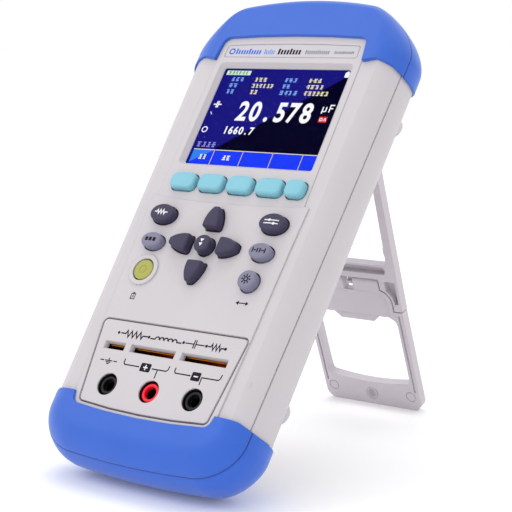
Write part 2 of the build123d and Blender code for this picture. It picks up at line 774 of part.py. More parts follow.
with BuildPart() as stand_frame:
    with BuildSketch(leaf(-half_thick)):
        with BuildLine():
            Polyline((-frame_low, gap_up + 0.4), (frame_low, gap_up + 0.4), (frame_high, stand_length),
                     (-frame_high, stand_length), close=True)
        make_face()
        add(rounded([(-20.5, bar_top), (20.5, bar_top), (22.6, stand_length - 13.5),
                     (-22.6, stand_length - 13.5)], 1.5), mode=Mode.SUBTRACT)
        with Locations((0, stand_length + 2.5)):
            Rectangle(45.4, 18, mode=Mode.SUBTRACT)
        add(plate_outline(0.6), mode=Mode.SUBTRACT)
    extrude(amount=stand_thick)
    # round ends on the hinge line
    for sign in (-1, 1):
        with BuildSketch(along_x(sign * 22.7, stand_length, 0)):
            Circle(half_thick)
        extrude(amount=sign * 3.1)
        with BuildSketch(along_x(sign * 20, stand_length, 0)):
            Circle(stand_pin_r + 0.05)
        extrude(amount=sign * 10, mode=Mode.SUBTRACT)
        # hinge holes of the foot, blind from the inside
        with BuildSketch(along_x(sign * 15, tip_up, 0)):
            Circle(tip_pin_r + 0.01)
        extrude(amount=sign * 2.2, mode=Mode.SUBTRACT)
        # snap bump on the inner face of each arm
        with BuildSketch(along_x(sign * 20.0, 75.0, 0.6)):
            RectangleRounded(3.6, 1.4, 0.6)
        extrude(amount=sign * 1.6)
    # long pocket in the cross bar
    with BuildSketch(leaf(half_thick)):
        with Locations((0, 66.6)):
            RectangleRounded(38.4, 3.3, 1.2)
    extrude(amount=-2.7, mode=Mode.SUBTRACT)
    # curved triangular pockets beside the shoulders
    with BuildSketch(leaf(half_thick)):
        for sign in (-1, 1):
            with BuildLine():
                Polyline((sign * 13.4, 61.6), (sign * 22.7, 61.6), (sign * 22.5, 51.4), (sign * 13.4, 51.4),
                         close=True)
            make_face()
        with Locations((-(plate_half - plate_r), plate_top - plate_r), (plate_half - plate_r, plate_top - plate_r)):
            Circle(plate_r + 1.5, mode=Mode.SUBTRACT)
        with Locations((0, 58)):
            Rectangle(2 * 17.8, 20, mode=Mode.SUBTRACT)
    extrude(amount=-2.6, mode=Mode.SUBTRACT)
    # hook that hangs into the window of the tab
    with BuildSketch(leaf(-half_thick + 0.2)):
        with Locations((0, 60.6)):
            Rectangle(2.4, 4.4)
    extrude(amount=1.2)
    with BuildSketch(leaf(-half_thick + 0.2)):
        with Locations((0, 59.0)):
            Rectangle(2.4, 1.2)
    extrude(amount=2.6)

with BuildPart() as stand_foot:
    with BuildSketch(leaf(-half_thick)):
        add(rounded([(-23.2, 0), (23.2, 0), (23.4, gap_up - 0.1), (-23.4, gap_up - 0.1)], 4.2,
                    lambda v: v.Y < 10))
        add(plate_outline(0))
        with BuildLine():
            sag = ThreePointArc((-20.0, 13.0), (0, 11.1), (20.0, 13.0))
            Polyline(sag @ 1, (20.0, 44.5), (-20.0, 44.5), sag @ 0)
        make_face(mode=Mode.SUBTRACT)
    extrude(amount=stand_thick)
    window_corners = stand_foot.edges().filter_by(Axis(leaf(0).origin, leaf(0).z_dir))
    upper = [e for e in window_corners if abs(leaf(0).to_local_coords(e.center()).Y - 44.5) < 0.2]
    lower = [e for e in window_corners if abs(leaf(0).to_local_coords(e.center()).Y - 13.0) < 0.2]
    fillet([e for e in upper if abs(leaf(0).to_local_coords(e.center()).X) > 19], 3.6)
    fillet([e for e in lower if abs(leaf(0).to_local_coords(e.center()).X) > 19], 2.0)
    # the tab is rounded about its hinge line
    crest = [e for e in stand_foot.edges().filter_by(Axis.X)
             if abs(leaf(0).to_local_coords(e.center()).Y - tab_top) < 0.1]
    fillet(crest, 1.8)
    # thumb lip below the plate
    with BuildSketch(leaf(-half_thick)):
        add(rounded([(-12.0, 46), (12.0, 46), (11.6, 44.4), (8.0, 41.1), (-8.0, 41.1), (-11.6, 44.4)], 1.2,
                    lambda v: v.Y < 45))
    extrude(amount=2.4)
    # plate face set back inside a thin rim
    with BuildSketch(leaf(half_thick)):
        add(rounded([(-17.2, 43), (17.2, 43), (17.2, 56.2), (-17.2, 56.2)], 4.8, lambda v: v.Y > 50))
    extrude(amount=-0.6, mode=Mode.SUBTRACT)
    # window in the tab for the hook
    with BuildSketch(leaf(half_thick)):
        with Locations((0, 59.4)):
            Rectangle(4.8, 7.0)
    extrude(amount=-stand_thick, mode=Mode.SUBTRACT)
    # grooves down the arms
    with BuildSketch(leaf(half_thick)):
        for sign in (-1, 1):
            with Locations((sign * 21.5, 27.5)):
                SlotOverall(37, 0.7, rotation=90)
    extrude(amount=-0.6, mode=Mode.SUBTRACT)
    # hanging hole with a countersunk ring, and two shallow witness rings
    with BuildSketch(leaf(half_thick)):
        with Locations((0, 5.4)):
            Circle(2.9)
            Circle(2.5, mode=Mode.SUBTRACT)
        with Locations((-19.0, 6.6), (19.0, 6.6)):
            Circle(2.3)
            Circle(2.0, mode=Mode.SUBTRACT)
    extrude(amount=-0.25, mode=Mode.SUBTRACT)
    with BuildSketch(leaf(half_thick)):
        with Locations((0, 5.4)):
            Circle(2.0)
    extrude(amount=-stand_thick, mode=Mode.SUBTRACT)
    # pin holes into the edges of the tab
    for sign in (-1, 1):
        with BuildSketch(along_x(sign * 9.8, tip_up, 0)):
            Circle(tip_pin_r + 0.05)
        extrude(amount=sign * 6, mode=Mode.SUBTRACT)

with BuildPart() as stand_hinge_pins:
    for sign in (-1, 1):
        with BuildSketch(side(sign * 22.5)):
            with Locations((hinge_depth, hinge_up)):
                Circle(stand_pin_r)
        extrude(amount=sign * 5.9)

with BuildPart() as foot_hinge_pins:
    for sign in (-1, 1):
        with BuildSketch(along_x(sign * 10, tip_up, 0)):
            Circle(tip_pin_r)
        extrude(amount=sign * 7)

# ---------------------------------------------------------------- the finished pieces
pieces = {
    "front_case": front_case,
    "rear_case": rear_case,
    "front_top_bumper": front_top_bumper,
    "rear_top_bumper": rear_top_bumper,
    "front_bottom_bumper": front_bottom_bumper,
    "rear_bottom_bumper": rear_bottom_bumper,
    "name_plate": name_plate,
    "screen_window": screen_window,
    "display_frame": display_frame,
    "display_panel": display_panel,
    "keypad_mat": keypad_mat,
    "main_board": main_board,
    "shield_can": shield_can,
    "board_chips": board_chips,
    "beeper": beeper,
    "serial_socket": serial_socket,
    "battery_pack": battery_pack,
    "battery_door": battery_door,
    "case_screws": case_screws,
    "board_screws": board_screws,
    "door_screws": door_screws,
    "terminal_block": terminal_block,
    "guard_blades": guard_blades,
    "high_blades": high_blades,
    "low_blades": low_blades,
    "guard_socket": guard_socket,
    "high_socket": high_socket,
    "low_socket": low_socket,
    "socket_barrels": socket_barrels,
    "stand_frame": stand_frame,
    "stand_foot": stand_foot,
    "stand_hinge_pins": stand_hinge_pins,
    "foot_hinge_pins": foot_hinge_pins,
}
pieces.update(caps)
for name, piece in pieces.items():
    piece.part.label = name
    export_step(piece.part, f"parts/{name}.step")
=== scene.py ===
import math
import random

import bmesh
import bpy
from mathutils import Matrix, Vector


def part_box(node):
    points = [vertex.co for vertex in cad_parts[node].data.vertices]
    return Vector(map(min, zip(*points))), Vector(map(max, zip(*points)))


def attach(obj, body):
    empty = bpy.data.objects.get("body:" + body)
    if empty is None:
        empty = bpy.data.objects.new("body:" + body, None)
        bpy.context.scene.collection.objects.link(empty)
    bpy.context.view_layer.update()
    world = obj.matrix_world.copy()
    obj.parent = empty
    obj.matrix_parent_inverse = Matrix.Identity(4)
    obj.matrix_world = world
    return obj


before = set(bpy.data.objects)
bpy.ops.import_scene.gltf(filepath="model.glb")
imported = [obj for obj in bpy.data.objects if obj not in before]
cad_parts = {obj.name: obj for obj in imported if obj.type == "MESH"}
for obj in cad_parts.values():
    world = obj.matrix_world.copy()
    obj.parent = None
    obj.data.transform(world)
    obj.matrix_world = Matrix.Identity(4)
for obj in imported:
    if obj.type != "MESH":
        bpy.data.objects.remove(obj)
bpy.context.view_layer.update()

# ------------------------------------------------------------------ places on the meter
MM = 0.001
LEAN = math.radians(36)                       # the front panel leans back this far
ACROSS = Vector((1, 0, 0))
UPWARD = Vector((0, math.sin(LEAN), math.cos(LEAN)))
OUTWARD = Vector((0, -math.cos(LEAN), math.sin(LEAN)))
WINDOW_DEPTH = 2.9                            # middle of the screen window, in mm under the front panel
window_low, window_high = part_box("screen_window")
# middle of the screen, on the front panel
SCREEN = (window_low + window_high) / 2 + OUTWARD * WINDOW_DEPTH * MM


def on_panel(x, up, out=0.0):
    """Point in metres from mm right, mm up and mm out of the front panel."""
    return SCREEN + (ACROSS * x + UPWARD * up + OUTWARD * out) * MM


def place_on_panel(node):
    """Middle of a CAD node, in mm right and mm up on the front panel."""
    corners = [(vert.co - SCREEN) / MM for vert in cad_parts[node].data.vertices]
    spans = [[corner.dot(side) for corner in corners] for side in (ACROSS, UPWARD)]
    return tuple((min(span) + max(span)) / 2 for span in spans)


# ------------------------------------------------------------------ camera and light
SENSOR = 36.0                                 # width of the sensor in mm
LENS = 102.3223                               # focal length in mm
SHIFT = (-0.0173047, -0.0085547)              # across and up, as shares of the frame's width
CAMERA_AT = Vector((318.39, -433.05 + SCREEN.y / MM, 27.81 + SCREEN.z / MM)) * MM
CAMERA_AZIMUTH = math.radians(36.289)
CAMERA_DROP = math.radians(8.355)
LIT_POINT = Vector((0, 0, 0.08))              # the lamps face this point of the meter
FLOOR_SIDE = 30


def make_camera():
    data = bpy.data.cameras.new("camera")
    data.sensor_width = SENSOR
    data.lens = LENS
    data.shift_x, data.shift_y = SHIFT
    data.clip_start = 0.01
    camera = bpy.data.objects.new("camera", data)
    bpy.context.scene.collection.objects.link(camera)
    forward = Vector((-math.sin(CAMERA_AZIMUTH) * math.cos(CAMERA_DROP),
                      math.cos(CAMERA_AZIMUTH) * math.cos(CAMERA_DROP),
                      -math.sin(CAMERA_DROP)))
    camera.rotation_euler = forward.to_track_quat("-Z", "Y").to_euler()
    camera.location = CAMERA_AT
    bpy.context.scene.camera = camera


def make_light(name, place, size, power):
    data = bpy.data.lights.new(name, "AREA")
    data.shape = "RECTANGLE"
    data.size, data.size_y = size
    data.energy = power
    light = bpy.data.objects.new(name, data)
    bpy.context.scene.collection.objects.link(light)
    light.location = place
    light.rotation_euler = (LIT_POINT - Vector(place)).to_track_quat("-Z", "Y").to_euler()


def make_studio():
    world = bpy.data.worlds.new("studio")
    bpy.context.scene.world = world
    world.use_nodes = True
    world.node_tree.nodes["Background"].inputs["Color"].default_value = (1, 1, 1, 1)
    world.node_tree.nodes["Background"].inputs["Strength"].default_value = 1.0
    make_light("key_light", (-0.75, -0.65, 0.95), (0.6, 0.6), 2.2)
    make_light("top_light", (-0.25, 0.35, 1.3), (0.9, 0.6), 4.0)
    scene = bpy.context.scene
    scene.view_settings.view_transform = "Standard"
    bpy.ops.mesh.primitive_plane_add(size=FLOOR_SIDE)
    floor = bpy.context.object
    floor.name = "floor"
    floor.data.materials.append(floor_material())


# ------------------------------------------------------------------ materials
def nodes_of(name):
    material = bpy.data.materials.new(name)
    material.use_nodes = True
    tree = material.node_tree
    return material, tree, tree.nodes["Principled BSDF"]


def linear(red, green, blue):
    """sRGB bytes to a linear colour."""
    return tuple(((v / 255 + 0.055) / 1.055) ** 2.4 if v > 10 else v / 255 / 12.92
                 for v in (red, green, blue))


def shade(colour, factor):
    return tuple(min(1.0, v * factor) for v in colour)


def mottled(tree, colour, size, spread):
    """Colour that wanders a little over the surface; size of the patches in metres."""
    where = tree.nodes.new("ShaderNodeTexCoord")
    noise = tree.nodes.new("ShaderNodeTexNoise")
    noise.inputs["Scale"].default_value = 1 / size
    noise.inputs["Detail"].default_value = 3.0
    ramp = tree.nodes.new("ShaderNodeValToRGB")
    ramp.color_ramp.elements[0].position = 0.3
    ramp.color_ramp.elements[0].color = (*shade(colour, 1 - spread), 1)
    ramp.color_ramp.elements[1].position = 0.7
    ramp.color_ramp.elements[1].color = (*shade(colour, 1 + spread), 1)
    tree.links.new(where.outputs["Object"], noise.inputs["Vector"])
    tree.links.new(noise.outputs["Fac"], ramp.inputs["Fac"])
    return ramp.outputs["Color"]


def edge_highlight_and_shade(tree, colour_socket, edge_colour, amount, radius):
    """Mixes in a second colour where a rounded copy of the normal leaves the real one: painted highlight
    where that colour is lighter, painted shade where it is darker.
    """
    bevel = tree.nodes.new("ShaderNodeBevel")
    bevel.samples = 6
    bevel.inputs["Radius"].default_value = radius
    geometry = tree.nodes.new("ShaderNodeNewGeometry")
    dot = tree.nodes.new("ShaderNodeVectorMath")
    dot.operation = "DOT_PRODUCT"
    tree.links.new(bevel.outputs["Normal"], dot.inputs[0])
    tree.links.new(geometry.outputs["Normal"], dot.inputs[1])
    reach = tree.nodes.new("ShaderNodeMapRange")
    reach.inputs["From Min"].default_value = 1.0
    reach.inputs["From Max"].default_value = 0.8
    reach.inputs["To Max"].default_value = amount
    tree.links.new(dot.outputs["Value"], reach.inputs["Value"])
    mix = tree.nodes.new("ShaderNodeMix")
    mix.data_type = "RGBA"
    tree.links.new(reach.outputs["Result"], mix.inputs["Factor"])
    tree.links.new(colour_socket, mix.inputs["A"])
    mix.inputs["B"].default_value = (*edge_colour, 1)
    return mix.outputs["Result"], bevel


def grain(tree, size, height, normal=None):
    """Fine moulded texture; size of the grain and its height in metres."""
    where = tree.nodes.new("ShaderNodeTexCoord")
    noise = tree.nodes.new("ShaderNodeTexNoise")
    noise.inputs["Scale"].default_value = 1 / size
    noise.inputs["Detail"].default_value = 2.0
    noise.inputs["Roughness"].default_value = 0.6
    bump = tree.nodes.new("ShaderNodeBump")
    bump.inputs["Strength"].default_value = 0.6
    bump.inputs["Distance"].default_value = height
    tree.links.new(where.outputs["Object"], noise.inputs["Vector"])
    tree.links.new(noise.outputs["Fac"], bump.inputs["Height"])
    if normal is not None:
        tree.links.new(normal, bump.inputs["Normal"])
    return noise, bump


def rough_patches(tree, noise, low, high):
    reach = tree.nodes.new("ShaderNodeMapRange")
    reach.inputs["To Min"].default_value = low
    reach.inputs["To Max"].default_value = high
    tree.links.new(noise.outputs["Fac"], reach.inputs["Value"])
    return reach.outputs["Result"]


def plastic(name, colour, rough=0.5, spread=0.02, patch=0.02, grain_size=0.0005, grain_height=0.00002,
            edge=1.08, edge_amount=0.5, edge_radius=0.0004, coat=0.0, specular=0.5, sheen=0.0):
    material, tree, shader = nodes_of(name)
    base = mottled(tree, colour, patch, spread)
    # edges painted lighter (painted highlight) when edge is above 1, darker (painted shade) when below
    base, bevel = edge_highlight_and_shade(tree, base, shade(colour, edge), edge_amount, edge_radius)
    noise, bump = grain(tree, grain_size, grain_height, bevel.outputs["Normal"])
    tree.links.new(base, shader.inputs["Base Color"])
    tree.links.new(bump.outputs["Normal"], shader.inputs["Normal"])
    tree.links.new(rough_patches(tree, noise, rough - 0.06, rough + 0.06), shader.inputs["Roughness"])
    shader.inputs["Coat Weight"].default_value = coat
    shader.inputs["Specular IOR Level"].default_value = specular
    if sheen:
        shader.inputs["Sheen Weight"].default_value = sheen
        shader.inputs["Sheen Roughness"].default_value = 0.45
        shader.inputs["Sheen Tint"].default_value = (0.75, 0.86, 1.0, 1)
    return material


def metal(name, colour, rough=0.3, grain_size=0.0004):
    material, tree, shader = nodes_of(name)
    base = mottled(tree, colour, 0.002, 0.08)
    noise, bump = grain(tree, grain_size, 0.00001)
    tree.links.new(base, shader.inputs["Base Color"])
    tree.links.new(bump.outputs["Normal"], shader.inputs["Normal"])
    tree.links.new(rough_patches(tree, noise, rough - 0.08, rough + 0.12), shader.inputs["Roughness"])
    shader.inputs["Metallic"].default_value = 1.0
    return material


def ink(name, colour, rough=0.45):
    return plastic(name, colour, rough=rough, spread=0.05, patch=0.003, grain_height=0.000005,
                   edge_amount=0.0, specular=0.12)


PIXELS_PER_METRE = 6000


def glow(name, colour, strength):
    """Lit pixels of the display, with their fine grid."""
    material, tree, shader = nodes_of(name)
    where = tree.nodes.new("ShaderNodeTexCoord")
    cells = tree.nodes.new("ShaderNodeTexVoronoi")
    cells.inputs["Scale"].default_value = PIXELS_PER_METRE
    ramp = tree.nodes.new("ShaderNodeValToRGB")
    ramp.color_ramp.elements[0].color = (*shade(colour, 0.92), 1)
    ramp.color_ramp.elements[1].color = (*colour, 1)
    tree.links.new(where.outputs["Object"], cells.inputs["Vector"])
    tree.links.new(cells.outputs["Distance"], ramp.inputs["Fac"])
    tree.links.new(ramp.outputs["Color"], shader.inputs["Emission Color"])
    shader.inputs["Emission Strength"].default_value = strength
    shader.inputs["Base Color"].default_value = (0.01, 0.01, 0.01, 1)
    shader.inputs["Roughness"].default_value = 0.6
    shader.inputs["Specular IOR Level"].default_value = 0.0
    return material


def floor_material():
    material, tree, shader = nodes_of("floor")
    tree.links.new(mottled(tree, (0.95, 0.95, 0.955), 0.3, 0.01), shader.inputs["Base Color"])
    shader.inputs["Roughness"].default_value = 0.8
    shader.inputs["Specular IOR Level"].default_value = 0.2
    shader.inputs["Emission Color"].default_value = (1, 1, 1, 1)
    shader.inputs["Emission Strength"].default_value = 0.06
    return material


GLARE_TOP, GLARE_LOW = (28.15, 20.4), (-19.05, -13.5)     # the edge of the painted glare crosses these two points
GLARE_SOFT = 0.0003       # half width of that edge, in metres


def display_material():
    """Two tones of blue, parted along a slanting line: the lighter tone is a painted reflection in the
    glass.
    """
    material, tree, shader = nodes_of("display_with_painted_glare")
    where = tree.nodes.new("ShaderNodeTexCoord")
    split = tree.nodes.new("ShaderNodeVectorMath")
    split.operation = "DOT_PRODUCT"
    start, end = on_panel(*GLARE_TOP), on_panel(*GLARE_LOW)
    square = (end - start).normalized().cross(OUTWARD).normalized()
    split.inputs[1].default_value = square
    tree.links.new(where.outputs["Object"], split.inputs[0])
    ramp = tree.nodes.new("ShaderNodeMapRange")
    edge = start.dot(square)
    ramp.inputs["From Min"].default_value = edge - GLARE_SOFT
    ramp.inputs["From Max"].default_value = edge + GLARE_SOFT
    mix = tree.nodes.new("ShaderNodeMix")
    mix.data_type = "RGBA"
    above = (on_panel(-20, 10) - start).dot(square) > 0
    # painted reflection: lighter blue on the glare's side of the line, dark blue on the other
    bright, dark = (*linear(26, 24, 132), 1), (*linear(2, 1, 30), 1)
    mix.inputs["A"].default_value = dark if above else bright
    mix.inputs["B"].default_value = bright if above else dark
    tree.links.new(split.outputs["Value"], ramp.inputs["Value"])
    tree.links.new(ramp.outputs["Result"], mix.inputs["Factor"])
    noise = tree.nodes.new("ShaderNodeTexNoise")
    noise.inputs["Scale"].default_value = 90
    tree.links.new(where.outputs["Object"], noise.inputs["Vector"])
    dim = tree.nodes.new("ShaderNodeMix")
    dim.data_type = "RGBA"
    dim.blend_type = "MULTIPLY"
    dim.inputs["Factor"].default_value = 0.15
    tree.links.new(mix.outputs["Result"], dim.inputs["A"])
    tree.links.new(noise.outputs["Fac"], dim.inputs["B"])
    tree.links.new(dim.outputs["Result"], shader.inputs["Emission Color"])
    shader.inputs["Emission Strength"].default_value = 1.0
    shader.inputs["Base Color"].default_value = (0.001, 0.001, 0.004, 1)
    shader.inputs["Roughness"].default_value = 0.5
    shader.inputs["Specular IOR Level"].default_value = 0.0
    return material


WINDOW_GLOSS = 0.0004


def window_material():
    """Clear sheet with a trace of gloss."""
    material, tree, shader = nodes_of("clear_window")
    tree.nodes.remove(shader)
    clear = tree.nodes.new("ShaderNodeBsdfTransparent")
    clear.inputs["Color"].default_value = (0.97, 0.97, 0.98, 1)
    gloss = tree.nodes.new("ShaderNodeBsdfGlossy")
    gloss.inputs["Roughness"].default_value = 0.06
    bump = grain(tree, 0.004, 0.000004)[1]
    tree.links.new(bump.outputs["Normal"], gloss.inputs["Normal"])
    mix = tree.nodes.new("ShaderNodeMixShader")
    mix.inputs["Fac"].default_value = WINDOW_GLOSS
    tree.links.new(clear.outputs["BSDF"], mix.inputs[1])
    tree.links.new(gloss.outputs["BSDF"], mix.inputs[2])
    tree.links.new(mix.outputs["Shader"], tree.nodes["Material Output"].inputs["Surface"])
    return material


CASE = plastic("case_plastic", linear(198, 193, 197), rough=0.5, spread=0.012, edge=1.04, specular=0.35)
STAND = plastic("stand_plastic", linear(198, 191, 198), rough=0.52, spread=0.015, edge=1.05,
                specular=0.35)
BUMPER = plastic("bumper_blue", linear(44, 96, 200), rough=0.5, spread=0.03, grain_size=0.0007,
                 grain_height=0.00003, edge=1.12, edge_amount=0.4, edge_radius=0.0008, specular=0.35,
                 sheen=0.35)
DARK_KEY = plastic("dark_key", linear(63, 59, 83), rough=0.5, spread=0.04, patch=0.004, edge=1.3,
                   specular=0.2)
GREY_KEY = plastic("grey_key", linear(124, 123, 146), rough=0.45, spread=0.03, patch=0.004, edge=1.1,
                   specular=0.3)
# soft keys: edges painted darker, painted shade
SOFT_KEY = plastic("soft_key", linear(129, 191, 208), rough=0.45, spread=0.02, patch=0.006, edge=0.55,
                   edge_amount=0.8, edge_radius=0.0011, specular=0.3)
POWER = plastic("power_key", linear(168, 167, 82), rough=0.45, spread=0.03, patch=0.004, edge=1.1,
                specular=0.3)
PLATE = plastic("name_plate", linear(196, 192, 199), rough=0.4, spread=0.01, grain_height=0.000008,
                specular=0.35)
BLACK = plastic("black_moulding", linear(14, 14, 18), rough=0.45, spread=0.1, patch=0.004, edge=1.6,
                specular=0.25)
RED = plastic("red_moulding", linear(246, 16, 46), rough=0.35, spread=0.05, patch=0.004, edge=1.1,
              specular=0.3)
# painted shade in the groove round the terminals
GROOVE = plastic("groove_shade", linear(112, 104, 110), rough=0.7, spread=0.05, patch=0.004,
                 specular=0.1)
BRASS = metal("contact_brass", linear(214, 128, 24), rough=0.32)
# nickel darkened far below its own tone: painted shade deep in the socket bores
SHADED_BARREL = metal("barrel_nickel_painted_shade", linear(74, 70, 66), rough=0.4)
STEEL = metal("zinc_steel", linear(190, 190, 195), rough=0.3)
# near black: the silicone's own dark tone, deepened as painted shade in the gaps round the keys
MAT_AND_GAP_SHADE = plastic("silicone_mat_and_gap_shade", linear(22, 22, 28), rough=0.6, spread=0.06, specular=0.2)
BOARD = plastic("solder_resist", linear(18, 92, 48), rough=0.3, spread=0.1, patch=0.003, coat=0.3)
CHIP = plastic("chip_black", linear(30, 30, 32), rough=0.55, spread=0.08, patch=0.002)
WRAP = plastic("battery_wrap", linear(34, 44, 90), rough=0.25, spread=0.06, coat=0.4)
WHITE_INK = ink("white_ink", linear(240, 240, 244))
BLACK_INK = ink("black_ink", linear(16, 14, 30))

FINISH = {
    "front_case": CASE, "rear_case": CASE, "battery_door": CASE,
    "front_top_bumper": BUMPER, "rear_top_bumper": BUMPER,
    "front_bottom_bumper": BUMPER, "rear_bottom_bumper": BUMPER,
    "name_plate": PLATE, "screen_window": window_material(), "display_frame": BLACK,
    "display_panel": display_material(), "keypad_mat": MAT_AND_GAP_SHADE, "main_board": BOARD,
    "shield_can": STEEL, "board_chips": CHIP, "beeper": CHIP, "serial_socket": STEEL,
    "battery_pack": WRAP, "case_screws": STEEL, "board_screws": STEEL, "door_screws": STEEL,
    "terminal_block": BLACK, "guard_blades": BRASS, "high_blades": BRASS, "low_blades": BRASS,
    "guard_socket": BLACK, "high_socket": RED, "low_socket": BLACK, "socket_barrels": SHADED_BARREL,
    "stand_frame": STAND, "stand_foot": STAND, "stand_hinge_pins": STEEL, "foot_hinge_pins": STEEL,
    "measure_key": DARK_KEY, "setup_key": DARK_KEY, "enter_key": DARK_KEY, "up_key": DARK_KEY,
    "down_key": DARK_KEY, "left_key": DARK_KEY, "right_key": DARK_KEY,
    "system_key": GREY_KEY, "hold_key": GREY_KEY, "light_key": GREY_KEY, "power_key": POWER,
    "softkey_1": SOFT_KEY, "softkey_2": SOFT_KEY, "softkey_3": SOFT_KEY, "softkey_4": SOFT_KEY,
    "softkey_5": SOFT_KEY,
}


SHARP = math.radians(28)


def dress_frame():
    """One material on each CAD node; edges sharper than SHARP stay sharp."""
    for name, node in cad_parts.items():
        node.data.materials.clear()
        node.data.materials.append(FINISH[name])
        node.data.polygons.foreach_set("use_smooth", [True] * len(node.data.polygons))
        node.data.set_sharp_from_angle(angle=SHARP)


# ------------------------------------------------------------------ flat shapes, in mm on the panel
def ribbon(points, width, closed=False):
    """Faces of a line of even width through the points, mitred at its corners."""
    count = len(points)
    left, right = [], []
    for index, (x, up) in enumerate(points):
        here = Vector((x, up))
        ways = []
        if index or closed:
            ways.append((here - Vector(points[index - 1])).normalized())
        if index < count - 1 or closed:
            ways.append((Vector(points[(index + 1) % count]) - here).normalized())
        mean = sum(ways, Vector((0, 0))).normalized()
        offset = Vector((-mean.y, mean.x)) * width / 2 / max(0.4, mean.dot(ways[0]))
        left.append(tuple(here + offset))
        right.append(tuple(here - offset))
    faces = []
    for index in range(count if closed else count - 1):
        after = (index + 1) % count
        faces.append([left[index], left[after], right[after], right[index]])
    return faces


def block(x0, x1, low, top):
    return [[(x0, low), (x1, low), (x1, top), (x0, top)]]


def round_block(x0, x1, low, top, radius, steps=4):
    outline = []
    corners = ((x1 - radius, top - radius, 0), (x0 + radius, top - radius, 90),
               (x0 + radius, low + radius, 180), (x1 - radius, low + radius, 270))
    for x, up, start in corners:
        for step in range(steps + 1):
            turn = math.radians(start + 90 * step / steps)
            outline.append((x + radius * math.cos(turn), up + radius * math.sin(turn)))
    return [outline]


def arc(x, up, radius, start, end, steps=12):
    turns = [math.radians(start + (end - start) * step / steps) for step in range(steps + 1)]
    return [(x + radius * math.cos(turn), up + radius * math.sin(turn)) for turn in turns]


def disc(x, up, radius):
    return [arc(x, up, radius, 0, 345, 23)]


def ring(x, up, radius, width):
    return ribbon(arc(x, up, radius, 0, 345, 23), width, closed=True)


def ticks(x0, x1, low, top, pitch, width, tall_every, short):
    """A small graduated scale: upright bars, every so many at full height."""
    faces = []
    for index in range(int((x1 - x0 - width) / pitch + 1.001)):
        reach = 1.0 if index % tall_every == 0 else short
        x = x0 + index * pitch
        faces += block(x, x + width, low, low + (top - low) * reach)
    return faces


def dashes(x0, x1, low, top, seed):
    """Abstract bars in even cells that stand for a row of writing."""
    chance = random.Random(seed)
    count = max(1, round((x1 - x0) / ((top - low) * 1.05)))
    cell = (x1 - x0) / count
    bar = (top - low) * 0.2
    gap = (top - low - 3 * bar) / 2
    faces = []
    for index in range(count):
        start = x0 + index * cell + cell * 0.07
        end = start + cell * 0.84
        stem = start + (end - start) * chance.uniform(0.3, 0.6)
        for row in range(3):
            begin = start + (stem - start) * chance.uniform(0.0, 0.8)
            stop = end - (end - stem - bar) * chance.uniform(0.0, 0.8)
            base = low + row * (bar + gap)
            faces += block(begin, stop, base, base + bar)
            if row < 2:
                faces += block(stem, stem + bar * 0.9, base + bar, base + bar + gap)
    return faces


GLYPHS = {}
NUMERAL_WEIGHT = 0.03     # how far the strokes of the built-in face are fattened


def glyph(sign):
    """Flat faces of one numeral of the built-in face, and its box."""
    if sign not in GLYPHS:
        data = bpy.data.curves.new("numeral", "FONT")
        data.body = sign
        data.offset = NUMERAL_WEIGHT
        data.resolution_u = 6
        holder = bpy.data.objects.new("numeral", data)
        mesh = bpy.data.meshes.new_from_object(holder)
        faces = [[tuple(mesh.vertices[v].co[:2]) for v in face.vertices] for face in mesh.polygons]
        xs = [v.co.x for v in mesh.vertices]
        ys = [v.co.y for v in mesh.vertices]
        GLYPHS[sign] = faces, (min(xs), max(xs), min(ys), max(ys))
        bpy.data.meshes.remove(mesh)
        bpy.data.objects.remove(holder)
        bpy.data.curves.remove(data)
    return GLYPHS[sign]


def number(text, centre, pitch, width, low, top):
    """Numerals in even cells; centre is the middle of the first cell."""
    zero = glyph("0")[1]
    across = width / (zero[1] - zero[0])
    tall = (top - low) / (zero[3] - zero[2])
    faces = []
    for index, sign in enumerate(text):
        shapes, (left, right, _, _) = glyph(sign)
        middle = centre + index * pitch - (left + right) / 2 * across
        for shape in shapes:
            faces.append([(middle + x * across, low + (y - zero[2]) * tall) for x, y in shape])
    return faces


MERGE = 0.0004            # corners this near each other are one corner
LONG_EDGE = 1.2           # longer edges are cut in three, so that they bend over a dome


def thin_piece(name, faces, out, body, material, thick=0.04, crown=None):
    """Raises flat faces off the panel as one thin closed piece. out is the underside, in mm.
    crown is (x, up, radius) of the domed cap that the piece follows."""
    form = bmesh.new()
    for face in faces:
        corners = [form.verts.new((x, up, 0)) for x, up in face]
        form.faces.new(corners)
    bmesh.ops.remove_doubles(form, verts=form.verts, dist=MERGE)
    if crown:
        edges = [edge for edge in form.edges if edge.calc_length() > LONG_EDGE]
        bmesh.ops.subdivide_edges(form, edges=edges, cuts=2, use_grid_fill=True)
    raised = bmesh.ops.extrude_face_region(form, geom=form.faces[:])
    for item in raised["geom"]:
        if isinstance(item, bmesh.types.BMVert):
            item.co.z = thick
    for vert in form.verts:
        x, up, height = vert.co
        if crown:
            height -= ((x - crown[0]) ** 2 + (up - crown[1]) ** 2) / 2 / crown[2]
        vert.co = on_panel(x, up, out + height)
    bmesh.ops.recalc_face_normals(form, faces=form.faces)
    mesh = bpy.data.meshes.new(name)
    form.to_mesh(mesh)
    form.free()
    mesh.materials.append(material)
    piece = bpy.data.objects.new(name, mesh)
    bpy.context.scene.collection.objects.link(piece)
    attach(piece, body)
    return piece


